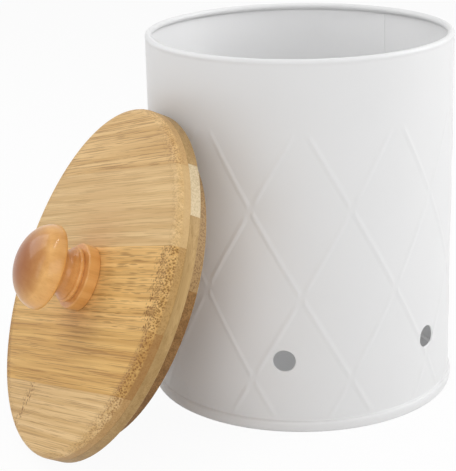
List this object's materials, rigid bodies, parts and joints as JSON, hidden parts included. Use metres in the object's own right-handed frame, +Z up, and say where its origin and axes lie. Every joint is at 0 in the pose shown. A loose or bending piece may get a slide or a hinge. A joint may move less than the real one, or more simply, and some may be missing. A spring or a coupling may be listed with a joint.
{
  "type": "vegetable storage bin",
  "caption": "Round sheet-steel storage canister with an embossed lattice and vent holes, and a laminated wooden lid with a turned knob that stands on the floor and leans against it.",
  "frame": {"origin": "centre of the canister's foot, on the surface that it stands on", "axes": "+Z up along the canister's axis, -Y towards the front, +X to the right as seen from the front; the lid leans at the front left"},
  "size_m": [0.2431, 0.2517, 0.196],
  "materials": {
    "coat": "satin powder coat",
    "bamboo": "oiled, satin",
    "bamboo_pale": "oiled, satin",
    "lacquer": "glossy lacquer",
    "steel": "zinc plated"
  },
  "bodies": {
    "canister": {"canister_wall": "coat", "base_pan": "coat"},
    "lid": {"face_strip_1": "bamboo", "face_strip_2": "bamboo", "face_strip_3": "bamboo", "face_strip_4": "bamboo", "face_strip_5": "bamboo", "cross_ply": "bamboo_pale", "plug_ply": "bamboo", "knob": "lacquer", "knob_screw": "steel"}
  },
  "joints": [
    {"name": "lid_lift", "type": "slide", "parent": "canister", "child": "lid", "axis": [-0.814, -0.3917, 0.4289], "range_m": [0, 0.15]}
  ]
}
